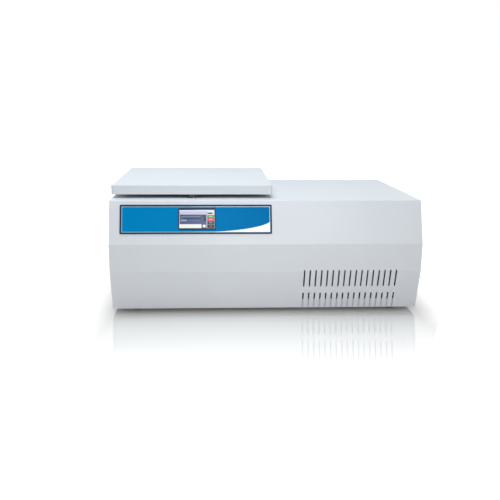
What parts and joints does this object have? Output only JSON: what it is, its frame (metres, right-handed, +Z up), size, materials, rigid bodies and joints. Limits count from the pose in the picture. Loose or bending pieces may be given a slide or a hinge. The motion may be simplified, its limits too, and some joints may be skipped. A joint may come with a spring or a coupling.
{
  "type": "cytocentrifuge",
  "caption": "Wide refrigerated bench centrifuge with a flat hinged lid, faceted sheet-steel front, touch-screen panel and a swing-out rotor for slide carriers.",
  "frame": {"origin": "on the bench, under the middle of the overall box", "axes": "+X to the right of a person facing the front, +Y to the rear, +Z up"},
  "size_m": [0.82, 0.565, 0.3455],
  "materials": {
    "powder_coat": "light grey-white powder coat, fine texture",
    "zinc_steel": "zinc-plated sheet steel",
    "stainless": "brushed stainless steel",
    "screw_steel": "bright plated steel",
    "guard_steel": "primed thick steel",
    "hook_black": "black oxide steel",
    "foam": "rigid insulating foam",
    "gasket_rubber": "soft black rubber",
    "rotor_alloy": "anodised aluminium alloy",
    "carrier_alloy": "machined aluminium",
    "clear_polymer": "translucent moulded plastic",
    "slide_glass": "clear glass",
    "motor_black": "black enamel",
    "copper": "bare copper tube",
    "fin_aluminium": "thin aluminium fins",
    "black_plastic": "moulded black plastic",
    "blue_film": "glossy blue polyester film",
    "screen_glass": "glossy lit touch screen",
    "circuit_board": "green circuit board"
  },
  "bodies": {
    "housing": {"outer_cover": "powder_coat", "left_side_panel": "powder_coat", "right_side_panel": "powder_coat", "rear_panel": "powder_coat", "base_pan": "powder_coat", "partition": "zinc_steel", "chamber_frame": "zinc_steel", "latch_housing": "zinc_steel", "motor_plate": "zinc_steel", "fan_shroud": "zinc_steel", "body_hinge_leaves": "zinc_steel", "chamber_bowl": "stainless", "hinge_pins": "stainless", "housing_screws": "screw_steel", "guard_ring": "guard_steel", "chamber_insulation": "foam", "chamber_gasket": "gasket_rubber", "shaft_boot": "gasket_rubber", "feet": "gasket_rubber", "motor_dampers": "gasket_rubber", "compressor_grommets": "gasket_rubber", "drive_motor": "motor_black", "compressor": "motor_black", "fan_motor": "motor_black", "evaporator_coil": "copper", "refrigerant_pipes": "copper", "filter_drier": "copper", "condenser": "fin_aluminium", "drive_unit": "fin_aluminium", "panel_frame": "black_plastic", "display_bezel": "black_plastic", "power_inlet": "black_plastic", "switch_frame": "black_plastic", "panel_film": "blue_film", "display_screen": "screen_glass", "control_board": "circuit_board"},
    "lid": {"lid_shell": "powder_coat", "lid_liner": "zinc_steel", "lid_insulation": "foam", "lid_hinge_leaves": "zinc_steel", "latch_hook": "hook_black"},
    "latch_bolt_body": {"latch_bolt": "screw_steel"},
    "rotor": {"motor_shaft": "stainless", "rotor_head": "rotor_alloy", "rotor_pins": "stainless", "rotor_nut": "rotor_alloy"},
    "cooling_fan": {"fan_blades": "black_plastic"},
    "mains_switch": {"mains_rocker": "black_plastic"},
    "carrier_1": {"slide_carrier_1": "carrier_alloy", "sample_chamber_1": "clear_polymer", "glass_slide_1": "slide_glass"},
    "carrier_2": {"slide_carrier_2": "carrier_alloy", "sample_chamber_2": "clear_polymer", "glass_slide_2": "slide_glass"},
    "carrier_3": {"slide_carrier_3": "carrier_alloy", "sample_chamber_3": "clear_polymer", "glass_slide_3": "slide_glass"},
    "carrier_4": {"slide_carrier_4": "carrier_alloy", "sample_chamber_4": "clear_polymer", "glass_slide_4": "slide_glass"}
  },
  "joints": [
    {"name": "lid_hinge", "type": "hinge", "parent": "housing", "child": "lid", "pos_m": [-0.196, 0.2735, 0.311], "axis": [-1, 0, 0], "range_deg": [0, 78]},
    {"name": "latch_slide", "type": "slide", "parent": "housing", "child": "latch_bolt_body", "axis": [1, 0, 0], "range_m": [0, 0.024]},
    {"name": "rotor_spin", "type": "hinge", "parent": "housing", "child": "rotor", "pos_m": [-0.196, 0.0275, 0.26], "axis": [0, 0, 1], "continuous": true},
    {"name": "carrier_1_swing", "type": "hinge", "parent": "rotor", "child": "carrier_1", "pos_m": [-0.104, 0.0275, 0.26], "axis": [0, -1, 0], "range_deg": [0, 90]},
    {"name": "carrier_2_swing", "type": "hinge", "parent": "rotor", "child": "carrier_2", "pos_m": [-0.196, 0.1195, 0.26], "axis": [1, 0, 0], "range_deg": [0, 90]},
    {"name": "carrier_3_swing", "type": "hinge", "parent": "rotor", "child": "carrier_3", "pos_m": [-0.288, 0.0275, 0.26], "axis": [0, 1, 0], "range_deg": [0, 90]},
    {"name": "carrier_4_swing", "type": "hinge", "parent": "rotor", "child": "carrier_4", "pos_m": [-0.196, -0.0645, 0.26], "axis": [-1, 0, 0], "range_deg": [0, 90]},
    {"name": "fan_spin", "type": "hinge", "parent": "housing", "child": "cooling_fan", "pos_m": [0.2225, -0.15, 0.147], "axis": [0, 1, 0], "continuous": true},
    {"name": "mains_rocker_tilt", "type": "hinge", "parent": "housing", "child": "mains_switch", "pos_m": [0.284, 0.274, 0.058], "axis": [-1, 0, 0], "range_deg": [0, 16]}
  ]
}
